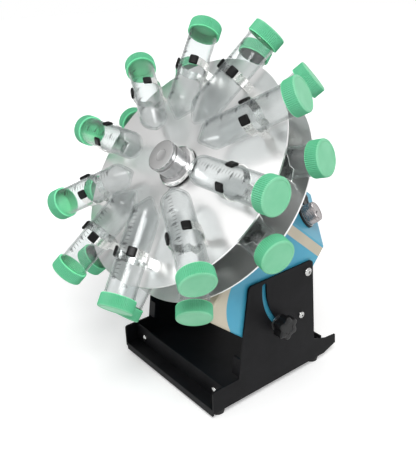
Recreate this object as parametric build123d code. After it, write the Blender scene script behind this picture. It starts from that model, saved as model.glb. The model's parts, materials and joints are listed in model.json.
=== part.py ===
from build123d import *
from math import asin, cos, degrees, radians, sin, sqrt
import os

os.makedirs("parts", exist_ok=True)

# Bench tube rotator. Two discs full of clipped sample tubes turn in front of a motor housing,
# which tilts between the side plates of a folded steel base.
# Millimetres and degrees, +Z up, the discs face -Y, and +X is the side with the controls.

# --- Sample tubes: 50 mL conical tubes with screw caps ---
tubes_per_disc = 10
tube_diameter = 30.0
tube_wall = 1.2
tube_length = 114.5
cone_length = 16.0
cone_tip_diameter = 6.0
cap_diameter = 35.0
cap_height = 13.0
cap_top = 1.5
cap_edge = 0.8
cap_clearance = 0.1
tube_height = 23.0              # tube axis above the face of its disc
cap_end_radius = 160.5          # rotor axis to the flat end of each cap

# --- Spring clips with soft tips ---
clip_radius = 106.0             # rotor axis to the middle of each clip
clip_band = 9.0
clip_steel = 1.0
clip_clearance = 0.1
clip_mouth_angle = 31.0         # from straight out of the disc to each end of the spring's arc
clip_leg_spacing = 14.0
tip_span_angle = 30.0           # how far each soft tip reaches along the arc
tip_end_angle = 1.5             # how far it reaches past the spring's end
tip_wall = 1.0                  # rubber over and under the spring
tip_width = 10.0

# --- Discs and hub ---
disc_diameter = 260.0
disc_thickness = 2.0
disc_pitch = 44.4               # front face of one disc to the front face of the other
rear_disc_turn = 21.5           # how far the rear disc's tubes stand round from the front ones
shaft_diameter = 12.0
fit_clearance = 0.05            # radial clearance of every shaft in its hole
spacer_diameter = 40.0
flange_diameter = 46.0
flange_thickness = 5.0
hub_diameter = 33.0
hub_groove_diameter = 29.0
hub_cap_diameter = 35.0
hub_groove_start = 21.0         # hub heights are above the front disc's face
hub_groove_end = 23.5
hub_height = 28.0
hub_edge = 1.0
shaft_nose = 15.0

# --- Motor housing, in the tilting frame of the rotor ---
housing_front = 57.0            # behind the front disc's face
housing_depth = 111.0
housing_width = 166.0
side_gap = 1.4                  # housing side to the inner face of each side plate
housing_drop = 122.5            # rotor axis down to the housing's floor
shoulder_low = 8.0              # rotor axis up to the lower edge of the sloping shoulders
housing_top = 60.0              # rotor axis up to the flat top
housing_top_width = 62.0
housing_corner = 3.0
front_edge_bevel = 1.5
panel_skin = 1.5
housing_wall = 2.0
front_wall = 3.0
front_border = 8.0              # depth of the pale border in front of the blue panels
panel_corner = 55.0             # round lower front corner of the lower blue panel
panel_overrun = 4.0             # how far below the floor that corner's round would end
band_low = -5.0                 # pale band along the housing, from and to, above the rotor axis
band_high = 6.0
rear_panel_thickness = 2.5
rear_panel_clearance = 0.2

# --- Drive inside the housing ---
gearbox_side = 60.0
gearbox_length = 35.0
motor_diameter = 50.0
motor_length = 55.0
shaft_in_gearbox = 20.0
bearing_diameter = 22.0
bearing_flange_diameter = 34.0
bearing_flange = 2.0

# --- Controls on the sloping shoulder; places are from its lower front corner ---
knob_back = 79.0
knob_up = 25.0
knob_diameter = 21.0
knob_length = 15.0
knob_edge = 0.8
knob_pointer = 1.2
knob_stem_diameter = 6.0
bezel_diameter = 27.0
bezel_height = 3.0
bezel_neck_diameter = 9.0
bezel_neck = 7.5
switch_back = 88.0
switch_up = 52.0
switch_width = 14.0
switch_length = 20.0
switch_rim = 2.0
switch_depth = 10.0
rocker_width = 9.0
rocker_length = 12.0
rocker_rise = 2.6
rocker_hollow = 1.2
rocker_root = 1.0
rocker_gap = 1.3                # room for the rocker's ends to swing
rocker_rest_tilt = 10.0
jack_diameter = 11.0
jack_nut_diameter = 15.0
jack_nut = 2.5
jack_depth = 12.0
jack_socket_diameter = 6.0
jack_pin_diameter = 2.1
jack_across = -50.0
jack_below = 95.0

# --- Base ---
plate_steel = 2.0
plate_front_foot = 88.5         # all these lengths run forwards or backwards from the base's middle
plate_front_low = 53.0
plate_front_high = 38.1
plate_rear_high = 56.2
plate_rear_low = 64.6
plate_rear_foot = 103.4
plate_top_front = 132.9         # heights above the underside of the base steel
plate_top_rear = 134.2
toe_height = 27.5
toe_corner = 3.0
plate_corner = 5.0
rear_toe_shoulder = (86.0, 20.0)
rear_toe_end_high = (102.4, 18.6)
rear_toe_end_low = (103.4, 6.7)
rear_toe_underside = (83.6, 0.0)
lip_width = 18.0
lip_front = 85.8
lip_rear = 82.0
stiffener_low = 30.0
stiffener_high = 50.0
stiffener_width = 10.0
floor_front = 72.0
floor_rear = 80.0
floor_flange_height = 25.0
floor_side_clearance = 0.3
apron_front = 88.3              # the floor runs forward between the toes and turns down
apron_low = -4.5
tab_width = 22.0
tab_height = 18.0
flange_screw_inset = 16.4       # from the side plate's inner face
flange_screw_height = 12.5
screw_diameter = 4.0
screw_head_diameter = 8.0
screw_head = 2.4
screw_length = 9.0
foot_diameter = 18.0
foot_sole_diameter = 15.0
foot_height = 8.0
foot_inset = 8.4                # foot's middle from the side plate's inner face
foot_front = 75.0
foot_rear = 72.0

# --- Tilt pivot and clamp ---
rest_tilt = 40.0                # rotor axis above the horizontal
least_tilt = 20.0
most_tilt = 90.0
pivot_back = 48.4               # behind the base's middle
pivot_height = 121.9
pivot_inset = 8.7               # along the rotor axis, pivot to the housing's rear face
pivot_below_axis = 26.1
pivot_diameter = 6.0
pivot_head_diameter = 10.0
pivot_head = 3.0
pivot_reach = 12.0              # shank length inside the side plate
bush_diameter = 12.0
bush_flange_diameter = 15.0
bush_length = 8.0
running_gap = 0.3
slot_radius = 65.0
slot_side_clearance = 0.3
clamp_stud_diameter = 6.0
clamp_stud_turn = 266.0         # stud direction about the pivot, with the rotor axis horizontal
clamp_nut_diameter = 16.0
clamp_nut_length = 8.0
clamp_washer_diameter = 18.0
clamp_washer_thickness = 1.5
clamp_neck_diameter = 15.0
clamp_neck = 4.0
clamp_lobes = 6
clamp_core_diameter = 21.0
clamp_lobe_diameter = 7.0
clamp_grip = 12.0
clamp_edge = 1.0
plate_screw_ahead = 7.9         # the screw below the pivot on the control side
plate_screw_below = 51.6

# --- Derived sizes ---
tube_radius = tube_diameter / 2
cap_radius = cap_diameter / 2
tube_rim = cap_end_radius - cap_top
tube_tip = tube_rim - tube_length
shaft_radius = shaft_diameter / 2
bore_radius = shaft_radius + fit_clearance
disc_radius = disc_diameter / 2
rear_face = -disc_pitch
housing_rear = housing_front + housing_depth
half_housing = housing_width / 2
plate_inner = half_housing + side_gap
plate_outer = plate_inner + plate_steel
pivot_to_disc = housing_rear - pivot_inset      # along the rotor axis, pivot to the front disc's face
rotor_axis = Vector(0, -cos(radians(rest_tilt)), sin(radians(rest_tilt)))
upslope = Vector(0, sin(radians(rest_tilt)), cos(radians(rest_tilt)))
pivot = Vector(0, pivot_back, pivot_height)
disc_centre = pivot + rotor_axis * pivot_to_disc + upslope * pivot_below_axis
tilting = Plane(origin=disc_centre, x_dir=(1, 0, 0), z_dir=rotor_axis).location


def turned(*points):
    """A piece turned on a lathe about local Z, from (radius, height) points."""
    outline = make_face(Polyline(*[(radius, 0, height) for radius, height in points], close=True))
    return revolve(outline, Axis.Z)


def collar(outer_diameter, bore, low, high):
    """A round collar about local Z with a bore of the given radius."""
    return turned((bore, low), (outer_diameter / 2, low), (outer_diameter / 2, high), (bore, high))


def pin(diameter, low, high):
    """A round pin about local Z."""
    return Pos(0, 0, low) * extrude(Circle(diameter / 2), high - low)


def side_cut(diameter, above, ahead):
    """A drill through the housing from side to side, placed in the tilting frame."""
    return Pos(0, above, ahead) * Rot(0, 90, 0) * Cylinder(diameter / 2, 2 * housing_width)


def around(piece, count, start, height):
    """Copies of a piece spread evenly round the rotor axis."""
    return [Pos(0, 0, height) * Rot(0, 0, start + 360 / count * turn) * piece for turn in range(count)]


def group(pieces):
    """Several separate solids kept as one sub-part."""
    return Compound([solid for piece in pieces for solid in piece.solids()])


# --- Sample tubes and caps, lying along local X ---
def tube():
    inner = tube_radius - tube_wall
    tip = cone_tip_diameter / 2
    cone_end = tube_tip + cone_length
    profile = Polyline(
        (tube_tip, 0), (tube_tip, tip), (cone_end, tube_radius), (tube_rim, tube_radius),
        (tube_rim, inner), (cone_end, inner), (tube_tip + 2 * tube_wall, 0), close=True)
    return revolve(make_face(profile), Axis.X)


def cap():
    bore = tube_radius + cap_clearance
    skirt = cap_end_radius - cap_height
    profile = Polyline(
        (skirt, bore), (skirt, cap_radius), (cap_end_radius - cap_edge, cap_radius),
        (cap_end_radius, cap_radius - cap_edge), (cap_end_radius, 0), (tube_rim, 0),
        (tube_rim, bore), close=True)
    return revolve(make_face(profile), Axis.X)


# --- Spring clip: a flat foot on the disc, two legs and an open ring whose ends carry soft tips ---
tip_inner = tube_radius + clip_clearance
band_inner = tip_inner + tip_wall
band_outer = band_inner + clip_steel
tip_outer = band_outer + tip_wall


def wedge(direction, half_angle):
    """A triangle from the tube's axis that covers a sector of the clip's ring."""
    reach = 4 * tube_radius
    left = radians(direction - half_angle)
    right = radians(direction + half_angle)
    return Pos(0, tube_height) * make_face(Polyline(
        (0, 0), (reach * cos(left), reach * sin(left)), (reach * cos(right), reach * sin(right)), close=True))


def swept_band(section, width):
    """A cross-section of the clip (across, above the disc) made into a band along the tube."""
    return Pos(clip_radius, 0, 0) * extrude(Plane.YZ * section, width / 2, both=True)


def clip_section():
    leg = clip_leg_spacing / 2
    leg_top = tube_height - sqrt((band_inner + clip_steel / 2) ** 2 - leg ** 2)
    ring = Pos(0, tube_height) * (Circle(band_outer) - Circle(band_inner))
    section = ring - wedge(90, clip_mouth_angle) - wedge(270, degrees(asin(leg / band_outer)))
    section += Pos(0, clip_steel / 2) * Rectangle(clip_leg_spacing + clip_steel, clip_steel)
    for side in (-1, 1):
        section += Pos(side * leg, leg_top / 2) * Rectangle(clip_steel, leg_top)
    return section


def clip():
    return swept_band(clip_section(), clip_band)


def clip_tip(side):
    ring = Pos(0, tube_height) * (Circle(tip_outer) - Circle(tip_inner))
    middle = clip_mouth_angle - tip_end_angle + tip_span_angle / 2
    sleeve = swept_band(ring & wedge(90 + side * middle, tip_span_angle / 2), tip_width)
    return sleeve - clip()


# --- Rotor ---
def disc(front_face):
    return collar(disc_diameter, bore_radius, front_face - disc_thickness, front_face)


def hub_knob():
    body = hub_diameter / 2
    groove = hub_groove_diameter / 2
    head = hub_cap_diameter / 2
    return turned(
        (bore_radius, flange_thickness), (body, flange_thickness), (body, hub_groove_start),
        (groove, hub_groove_start), (groove, hub_groove_end), (head, hub_groove_end),
        (head, hub_height - hub_edge), (head - hub_edge, hub_height), (0, hub_height),
        (0, shaft_nose), (bore_radius, shaft_nose))


# --- Housing ---
def housing_outline(inset):
    """The housing's cross-section, seen along the rotor axis, drawn in by an even margin."""
    half_top = housing_top_width / 2
    outline = make_face(Polyline(
        (-half_housing, -housing_drop), (half_housing, -housing_drop), (half_housing, shoulder_low),
        (half_top, housing_top), (-half_top, housing_top), (-half_housing, shoulder_low), close=True))
    if inset:
        outline = offset(outline, -inset, kind=Kind.INTERSECTION)
    radius = housing_corner - inset
    return fillet(outline.vertices(), radius) if radius > 0 else outline


def housing_block(inset, front, rear):
    return Pos(0, 0, -rear) * extrude(housing_outline(inset), rear - front)


def side_prism(low, high, front, corner_radius):
    """A block across the whole housing between two heights, with a round lower front corner."""
    length = housing_rear + panel_overrun - front
    outline = Plane.YZ * Pos((low + high) / 2, -front - length / 2) * Rectangle(high - low, length)
    if corner_radius:
        corner = outline.vertices().sort_by_distance((0, low, -front))[0]
        outline = fillet(corner, corner_radius)
    return extrude(outline, housing_width, both=True)


shoulder_run = half_housing - housing_top_width / 2
shoulder_rise = housing_top - shoulder_low
shoulder_length = sqrt(shoulder_run ** 2 + shoulder_rise ** 2)


def on_shoulder(back, up):
    """A place on the control-side shoulder: local X to the rear, Y up the slope, Z outwards."""
    across = half_housing - up * shoulder_run / shoulder_length
    above = shoulder_low + up * shoulder_rise / shoulder_length
    spot = Plane(origin=(across, above, -housing_front - back), x_dir=(0, 0, -1),
                 z_dir=(shoulder_rise, shoulder_run, 0))
    return spot.location


knob_spot = on_shoulder(knob_back, knob_up)
switch_spot = on_shoulder(switch_back, switch_up)
pivot_above = -pivot_below_axis
pivot_ahead = -pivot_to_disc
stud_turn = radians(clamp_stud_turn - rest_tilt)
stud_offset = Vector(0, slot_radius * cos(stud_turn), slot_radius * sin(stud_turn))
stud_above = pivot_above + stud_offset.dot(upslope)
stud_ahead = pivot_ahead + stud_offset.dot(rotor_axis)
jack_spot = Location((jack_across, -jack_below, -housing_rear))

full_block = housing_block(0, housing_front, housing_rear)
full_block = chamfer(full_block.faces().sort_by(Axis.Z)[-1].edges(), front_edge_bevel)
skin = full_block - housing_block(panel_skin, housing_front, housing_rear)
lower_zone = side_prism(-housing_drop - panel_overrun, band_low, housing_front + front_border, panel_corner)
upper_zone = side_prism(band_high, housing_top + panel_overrun, housing_front + front_border, 0)
cavity = housing_block(panel_skin + housing_wall, housing_front + front_wall, housing_rear)
pivot_drill = side_cut(bush_diameter, pivot_above, pivot_ahead)
stud_drill = Pos(housing_width, 0, 0) * side_cut(clamp_stud_diameter + 2 * slot_side_clearance,
                                                 stud_above, stud_ahead)
knob_drill = knob_spot * pin(bezel_neck_diameter, -2 * bezel_neck, bezel_neck)
switch_body_width = switch_width - switch_rim
switch_body_length = switch_length - switch_rim
switch_cut = switch_spot * Box(switch_body_width, switch_body_length, 4 * switch_depth)
shaft_drill = pin(bearing_diameter, -housing_front - 2 * front_wall, -housing_front + front_wall)

lower_shell = (skin & lower_zone) - pivot_drill - stud_drill
upper_hood = (skin & upper_zone) - knob_drill - switch_cut
housing_chassis = full_block - (skin & lower_zone) - (skin & upper_zone) - cavity
housing_chassis = housing_chassis - pivot_drill - stud_drill - knob_drill - switch_cut - shaft_drill
rear_panel = housing_block(panel_skin + housing_wall + rear_panel_clearance,
                           housing_rear - rear_panel_thickness, housing_rear)
rear_panel = rear_panel - jack_spot * pin(jack_diameter, -jack_depth, jack_depth)


def power_jack():
    socket = jack_socket_diameter / 2
    barrel = jack_diameter / 2
    nut = jack_nut_diameter / 2
    body = turned((socket, -jack_nut), (nut, -jack_nut), (nut, 0), (barrel, 0), (barrel, jack_depth),
                  (0, jack_depth), (0, jack_depth - jack_nut), (socket, jack_depth - jack_nut))
    return jack_spot * (body + pin(jack_pin_diameter, 0, jack_depth - jack_nut))


def gear_motor():
    face = -housing_front - front_wall
    gearbox = Pos(0, 0, face - gearbox_length / 2) * Box(gearbox_side, gearbox_side, gearbox_length)
    gearbox = fillet(gearbox.edges().filter_by(Axis.Z), housing_corner)
    motor = pin(motor_diameter, face - gearbox_length - motor_length, face - gearbox_length)
    return gearbox + motor - pin(2 * bore_radius, face - shaft_in_gearbox, face)


def front_bearing():
    wall = -housing_front
    rim = bearing_flange_diameter / 2
    body = bearing_diameter / 2
    return turned((bore_radius, wall - front_wall), (body, wall - front_wall), (body, wall),
                  (rim, wall), (rim, wall + bearing_flange), (bore_radius, wall + bearing_flange))


def knob_bezel():
    bore = knob_stem_diameter / 2 + fit_clearance
    neck = bezel_neck_diameter / 2
    rim = bezel_diameter / 2
    return knob_spot * turned((bore, -bezel_neck), (neck, -bezel_neck), (neck, 0), (rim, 0),
                              (rim, bezel_height - knob_edge), (rim - knob_edge, bezel_height),
                              (bore, bezel_height))


def speed_knob():
    low = bezel_height + running_gap
    high = low + knob_length
    grip = knob_diameter / 2
    stem = knob_stem_diameter / 2
    body = turned((0, -bezel_neck), (stem, -bezel_neck), (stem, low), (grip, low),
                  (grip, high - knob_edge), (grip - knob_edge, high), (0, high))
    pointer = Pos(0, grip / 2, high) * Box(knob_pointer, grip, knob_pointer)
    return knob_spot * (body - pointer)


def switch_bezel():
    frame = Pos(0, 0, switch_rim / 2) * Box(switch_width, switch_length, switch_rim)
    body = Pos(0, 0, -switch_depth / 2) * Box(switch_body_width, switch_body_length, switch_depth)
    well_depth = switch_depth - switch_rim
    well = Box(rocker_width + 2 * running_gap, rocker_length + 2 * rocker_gap, 2 * well_depth)
    return switch_spot * (frame + body - well)


rocker_pivot_depth = 3.0
rocker_spot = switch_spot * Pos(0, 0, -rocker_pivot_depth)


def power_switch():
    half = rocker_length / 2
    top = rocker_pivot_depth + rocker_rise
    outline = make_face(Polyline((-half, -rocker_root), (half, -rocker_root), (half, top), (0, top - rocker_hollow),
                                 (-half, top), close=True))
    rocker = extrude(Plane.YZ * outline, rocker_width / 2, both=True)
    return rocker_spot * Rot(rocker_rest_tilt, 0, 0) * rocker


# --- Tilt pivot and clamp ---
def on_side(side, centre):
    """A place on the outer face of a side plate, local Z pointing outwards."""
    return Plane(origin=(side * plate_outer, centre.Y, centre.Z), x_dir=(0, side, 0),
                 z_dir=(side, 0, 0)).location


def pivot_screw(side):
    head = pivot_head_diameter / 2
    shank = pivot_diameter / 2
    screw = turned((0, -plate_steel - pivot_reach), (shank, -plate_steel - pivot_reach), (shank, 0),
                   (head, 0), (head, pivot_head - clamp_edge), (head - clamp_edge, pivot_head),
                   (0, pivot_head))
    return on_side(side, pivot) * screw


def pivot_bush(side):
    """A flanged bush in the housing's side that turns on the pivot screw."""
    bore = pivot_diameter / 2 + fit_clearance
    body = bush_diameter / 2
    rim = bush_flange_diameter / 2
    inner_face = -plate_steel - running_gap
    wall = half_housing - plate_outer
    bush = turned((bore, wall - bush_length), (body, wall - bush_length), (body, wall), (rim, wall),
                  (rim, inner_face), (bore, inner_face))
    return on_side(side, pivot) * bush


stud_centre = pivot + stud_offset
plate_screw_spot = on_side(1, pivot - Vector(0, plate_screw_ahead, plate_screw_below))
clamp_spot = on_side(1, stud_centre)
stud_inner_end = half_housing - panel_skin - housing_wall - clamp_nut_length - plate_outer


def clamp_nut():
    bore = clamp_stud_diameter / 2 + fit_clearance
    return clamp_spot * collar(clamp_nut_diameter, bore, stud_inner_end, stud_inner_end + clamp_nut_length)


def clamp_washer():
    bore = clamp_stud_diameter / 2 + fit_clearance
    return clamp_spot * collar(clamp_washer_diameter, bore, running_gap,
                               running_gap + clamp_washer_thickness)


def clamp_knob():
    neck_base = running_gap + clamp_washer_thickness
    grip_base = neck_base + clamp_neck
    section = Circle(clamp_core_diameter / 2)
    for lobe in range(clamp_lobes):
        section += Rot(0, 0, 360 / clamp_lobes * lobe) * Pos(clamp_core_diameter / 2, 0) * Circle(
            clamp_lobe_diameter / 2)
    grip = Pos(0, 0, grip_base) * extrude(section, clamp_grip)
    grip = chamfer(grip.faces().sort_by(Axis.Z)[-1].edges(), clamp_edge)
    return clamp_spot * (grip + pin(clamp_neck_diameter, neck_base, grip_base)
                         + pin(clamp_stud_diameter, stud_inner_end, neck_base))


# --- Base ---
def side_plate(side):
    outline = make_face(Polyline(
        (-plate_front_foot, 0), (-plate_front_foot, toe_height), (-plate_front_low, toe_height),
        (-plate_front_high, plate_top_front), (plate_rear_high, plate_top_rear),
        (plate_rear_low, toe_height), rear_toe_shoulder, rear_toe_end_high, rear_toe_end_low,
        rear_toe_underside, close=True))
    top_corners = outline.vertices().sort_by(Axis.Y)[-2:]
    outline = fillet(top_corners, plate_corner)
    toe = outline.vertices().sort_by_distance((-plate_front_foot, toe_height, 0))[0]
    outline = fillet(toe, toe_corner)
    place = Plane(origin=(side * plate_inner, 0, 0), x_dir=(0, 1, 0), z_dir=(1, 0, 0))
    plate = extrude(place * outline, side * plate_steel)
    inwards = -side
    lip = Pos(side * plate_inner, 0, plate_steel / 2) * Box(
        lip_width, lip_front + lip_rear, plate_steel,
        align=(Align.MAX if side > 0 else Align.MIN, Align.CENTER, Align.CENTER))
    plate += Pos(0, (lip_rear - lip_front) / 2, 0) * lip
    slope = (plate_front_low - plate_front_high) / (plate_top_front - toe_height)
    edge_low = -plate_front_low + slope * (stiffener_low - toe_height)
    edge_high = -plate_front_low + slope * (stiffener_high - toe_height)
    stiffener = make_face(Polyline((edge_low, stiffener_low), (edge_low + plate_steel, stiffener_low),
                                   (edge_high + plate_steel, stiffener_high), (edge_high, stiffener_high),
                                   close=True))
    plate += extrude(place * stiffener, inwards * stiffener_width)
    for flange_face, tab_side in ((-floor_front + plate_steel, 1), (floor_rear - plate_steel, -1)):
        tab = Pos(side * (plate_inner - tab_width / 2), flange_face + tab_side * plate_steel / 2,
                  2 * plate_steel + running_gap + tab_height / 2) * Box(tab_width, plate_steel, tab_height)
        plate += tab
    for screw in flange_screw_places():
        plate -= screw * pin(screw_diameter, -2 * screw_length, screw_length)
    plate -= on_side(side, pivot) * pin(pivot_diameter + 2 * fit_clearance, -2 * plate_steel, plate_steel)
    return plate


def clamp_slot():
    """The curved slot that the clamp stud follows while the housing tilts."""
    half_width = clamp_stud_diameter / 2 + slot_side_clearance
    first = clamp_stud_turn - most_tilt
    last = clamp_stud_turn - least_tilt
    arc = CenterArc((pivot.Y, pivot.Z), slot_radius, first, last - first)
    place = Plane(origin=(plate_inner, 0, 0), x_dir=(0, 1, 0), z_dir=(1, 0, 0))
    return extrude(place * SlotArc(arc, 2 * half_width), plate_steel)


def flange_screw_places():
    """Screws through the floor's end flanges, local Z pointing out of the base."""
    places = []
    for across in (flange_screw_inset - plate_inner, plate_inner - flange_screw_inset):
        front = Plane(origin=(across, -floor_front, flange_screw_height), x_dir=(1, 0, 0), z_dir=(0, -1, 0))
        rear = Plane(origin=(across, floor_rear, flange_screw_height), x_dir=(-1, 0, 0), z_dir=(0, 1, 0))
        places += [front.location, rear.location]
    return places


def flange_screw():
    head = screw_head_diameter / 2
    shank = screw_diameter / 2
    return turned((0, -screw_length), (shank, -screw_length), (shank, 0), (head, 0),
                  (head - clamp_edge, screw_head), (0, screw_head))


def plate_screw():
    """A screw head in the control-side plate, its shank ending flush with the inner face."""
    head = screw_head_diameter / 2
    shank = screw_diameter / 2
    screw = turned((0, -plate_steel), (shank, -plate_steel), (shank, 0), (head, 0),
                   (head - clamp_edge, screw_head), (0, screw_head))
    return plate_screw_spot * screw


def base_plate():
    half = plate_inner - floor_side_clearance
    length = apron_front + floor_rear
    floor = Pos(0, (floor_rear - apron_front) / 2, 1.5 * plate_steel) * Box(2 * half, length, plate_steel)
    apron_size = 2 * plate_steel - apron_low
    floor += Pos(0, plate_steel / 2 - apron_front, apron_low + apron_size / 2) * Box(
        2 * half, plate_steel, apron_size)
    flange_size = floor_flange_height - plate_steel
    for face in (-floor_front + plate_steel / 2, floor_rear - plate_steel / 2):
        floor += Pos(0, face, plate_steel + flange_size / 2) * Box(2 * half, plate_steel, flange_size)
    for screw in flange_screw_places():
        floor -= screw * pin(screw_diameter, -screw_length, screw_length)
    return floor


def foot():
    return turned((0, -foot_height), (foot_sole_diameter / 2, -foot_height), (foot_diameter / 2, 0), (0, 0))


# --- Sub-parts, each in its own place at the rest tilt ---
nodes = {
    "base_plate": base_plate(),
    "side_plate_left": side_plate(-1),
    "side_plate_right": side_plate(1) - clamp_slot() - plate_screw_spot * pin(screw_diameter, -plate_steel, 0),
    "plate_screw": plate_screw(),
    "flange_screws": group([place * flange_screw() for place in flange_screw_places()]),
    "pivot_screws": group([pivot_screw(-1), pivot_screw(1)]),
    "pivot_bushes": group([pivot_bush(-1), pivot_bush(1)]),
    "clamp_nut": clamp_nut(),
    "clamp_washer": clamp_washer(),
    "clamp_knob": clamp_knob(),
}
for side_name, across in (("left", foot_inset - plate_inner), ("right", plate_inner - foot_inset)):
    nodes[f"foot_front_{side_name}"] = Pos(across, -foot_front, 0) * foot()
    nodes[f"foot_rear_{side_name}"] = Pos(across, foot_rear, 0) * foot()

tilting_nodes = {
    "housing_chassis": housing_chassis,
    "lower_shell": lower_shell,
    "upper_hood": upper_hood,
    "rear_panel": rear_panel,
    "power_jack": power_jack(),
    "gear_motor": gear_motor(),
    "front_bearing": front_bearing(),
    "knob_bezel": knob_bezel(),
    "speed_knob": speed_knob(),
    "switch_bezel": switch_bezel(),
    "power_switch": power_switch(),
    "drive_shaft": pin(shaft_diameter, -housing_front - front_wall - shaft_in_gearbox, shaft_nose),
    "rear_hub": collar(flange_diameter, bore_radius, rear_face - disc_thickness - flange_thickness,
                       rear_face - disc_thickness),
    "disc_spacer": collar(spacer_diameter, bore_radius, rear_face, -disc_thickness),
    "hub_flange": collar(flange_diameter, bore_radius, 0, flange_thickness),
    "hub_knob": hub_knob(),
}
for disc_name, face, start in (("front", 0, 0), ("rear", rear_face, rear_disc_turn)):
    tilting_nodes[f"{disc_name}_disc"] = disc(face)
    tilting_nodes[f"{disc_name}_clips"] = group(around(clip(), tubes_per_disc, start, face))
    tips = around(clip_tip(-1), tubes_per_disc, start, face) + around(clip_tip(1), tubes_per_disc, start, face)
    tilting_nodes[f"{disc_name}_clip_tips"] = group(tips)
    tilting_nodes[f"{disc_name}_caps"] = group(around(cap(), tubes_per_disc, start, face + tube_height))
    for number, piece in enumerate(around(tube(), tubes_per_disc, start, face + tube_height), 1):
        tilting_nodes[f"{disc_name}_tube_{number:02d}"] = piece
for name, shape in tilting_nodes.items():
    nodes[name] = tilting * shape

# The row's origin is the middle of the whole part's outline, on the surface that it stands on.
extent = group(nodes.values()).bounding_box()
to_origin = Location((-extent.center().X, -extent.center().Y, -extent.min.Z))
for name, shape in nodes.items():
    export_step(to_origin * shape, f"parts/{name}.step")
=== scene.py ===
# %% [markdown]
# # A bench tube rotator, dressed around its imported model
# The machine is already built as solids: two discs on a motor housing that tilts in a steel base.
# This lesson gives each solid its finish, and remakes the small turned and moulded pieces whose
# ribs, rims and soft edges matter when you look closely: caps, tubes, knobs and screws.

# %% Load the model
import json
from math import atan2, cos, pi, radians, sin

import bmesh
import bpy
from mathutils import Matrix, Vector


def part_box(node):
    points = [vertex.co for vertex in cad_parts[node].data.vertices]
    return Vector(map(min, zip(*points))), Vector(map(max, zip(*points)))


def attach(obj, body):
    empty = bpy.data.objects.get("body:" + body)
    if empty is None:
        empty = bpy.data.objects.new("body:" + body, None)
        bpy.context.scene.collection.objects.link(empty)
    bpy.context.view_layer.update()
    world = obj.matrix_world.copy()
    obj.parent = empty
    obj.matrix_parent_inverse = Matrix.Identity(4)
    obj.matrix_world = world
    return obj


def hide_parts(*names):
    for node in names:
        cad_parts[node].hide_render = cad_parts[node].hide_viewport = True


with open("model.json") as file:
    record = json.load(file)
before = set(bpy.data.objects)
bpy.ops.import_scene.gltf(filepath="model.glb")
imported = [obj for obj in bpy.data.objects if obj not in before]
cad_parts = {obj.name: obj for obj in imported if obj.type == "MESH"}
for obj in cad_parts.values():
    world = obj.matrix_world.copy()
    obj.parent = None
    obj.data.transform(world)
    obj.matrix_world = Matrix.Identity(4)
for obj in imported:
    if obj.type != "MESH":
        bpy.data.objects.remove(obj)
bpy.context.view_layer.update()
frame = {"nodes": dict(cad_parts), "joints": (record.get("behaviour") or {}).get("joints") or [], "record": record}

# %% [markdown]
# Every place comes from the model's own joints. The rotor's hinge gives the middle of the front
# disc and the direction it faces, so a matrix made from them lets each rotor piece be built flat,
# about its own Z axis, and then be stood up with one multiplication.

# %% Places taken from the joints
MM = 0.001
joints = {joint["name"]: joint for joint in frame["joints"]}


def standing(name, side_hint):
    """A matrix at a joint whose Z is the joint's axis and whose X lies near side_hint."""
    out = Vector(joints[name]["axis"]).normalized()
    across = (Vector(side_hint) - out * out.dot(Vector(side_hint))).normalized()
    up = out.cross(across)
    place = Matrix((across, up, out)).transposed().to_4x4()
    place.translation = Vector(joints[name]["pos_m"])
    return place


rotor_place = standing("rotor_spin", (1, 0, 0))
print("rotor centre", rotor_place.translation)

# %% [markdown]
# ## The camera
# The camera stands to the right of the machine and a little above it, 0.64 m from the middle of the
# front disc. Its three directions are written out as vectors, which fixes its slight lean too, and
# a pair of small shifts centres the machine in the frame.

# %% Camera
camera_data = bpy.data.cameras.new("camera")
camera = bpy.data.objects.new("camera", camera_data)
bpy.context.scene.collection.objects.link(camera)
camera_right = Vector((0.62738, 0.7783, -0.02534))
camera_up = Vector((-0.28663, 0.26106, 0.92179))
camera_back = Vector((0.72404, -0.57105, 0.38687))
camera.matrix_world = Matrix((camera_right, camera_up, camera_back)).transposed().to_4x4()
camera.location = (0.4945, -0.3707, 0.4399)
camera_data.lens = 49.17
camera_data.shift_x = -0.0043
camera_data.shift_y = 0.0034
bpy.context.scene.camera = camera
print("camera at", camera.location)

# %% [markdown]
# ## Finishes
# Each finish is a Principled shader. It could be set up by hand in the node editor, but the
# finishes differ in only a few values, so one helper sets those by the names of their sockets, and
# two more add a node and join a pair of sockets.


# %% Finish helpers
def paint(red, green, blue):
    """A colour given as 0-255 screen values, turned into the linear values a shader wants."""
    return tuple((value / 255) ** 2.2 for value in (red, green, blue))


def finish(name, colour, roughness, metallic=0.0, **sockets):
    material = bpy.data.materials.new(name)
    material.use_nodes = True
    shader = material.node_tree.nodes["Principled BSDF"]
    shader.inputs["Base Color"].default_value = (*colour, 1)
    shader.inputs["Roughness"].default_value = roughness
    shader.inputs["Metallic"].default_value = metallic
    for socket, value in sockets.items():
        shader.inputs[socket.replace("_", " ").title().replace("Ior", "IOR")].default_value = value
    return material


def add_node(material, kind, **values):
    node = material.node_tree.nodes.new(kind)
    for key, value in values.items():
        if key in node.inputs:
            node.inputs[key].default_value = value
        else:
            setattr(node, key, value)
    return node


def join(material, source, target):
    material.node_tree.links.new(source, target)


# %% [markdown]
# Real surfaces are never quite even. Painted textures would need every piece unwrapped, so the
# unevenness is a noise read from Object coordinates instead, which keeps its real size on every
# piece. Grain is a fine bump, drift lets the colour wander, and wear does so with the roughness.


# %% Grain, drift and wear
def object_noise(material, scale, detail=3.0):
    """A noise of the given number of features per metre, in the object's own space."""
    where = add_node(material, "ShaderNodeTexCoord")
    noise = add_node(material, "ShaderNodeTexNoise", Scale=scale, Detail=detail)
    join(material, where.outputs["Object"], noise.inputs["Vector"])
    return noise.outputs["Fac"]


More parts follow.
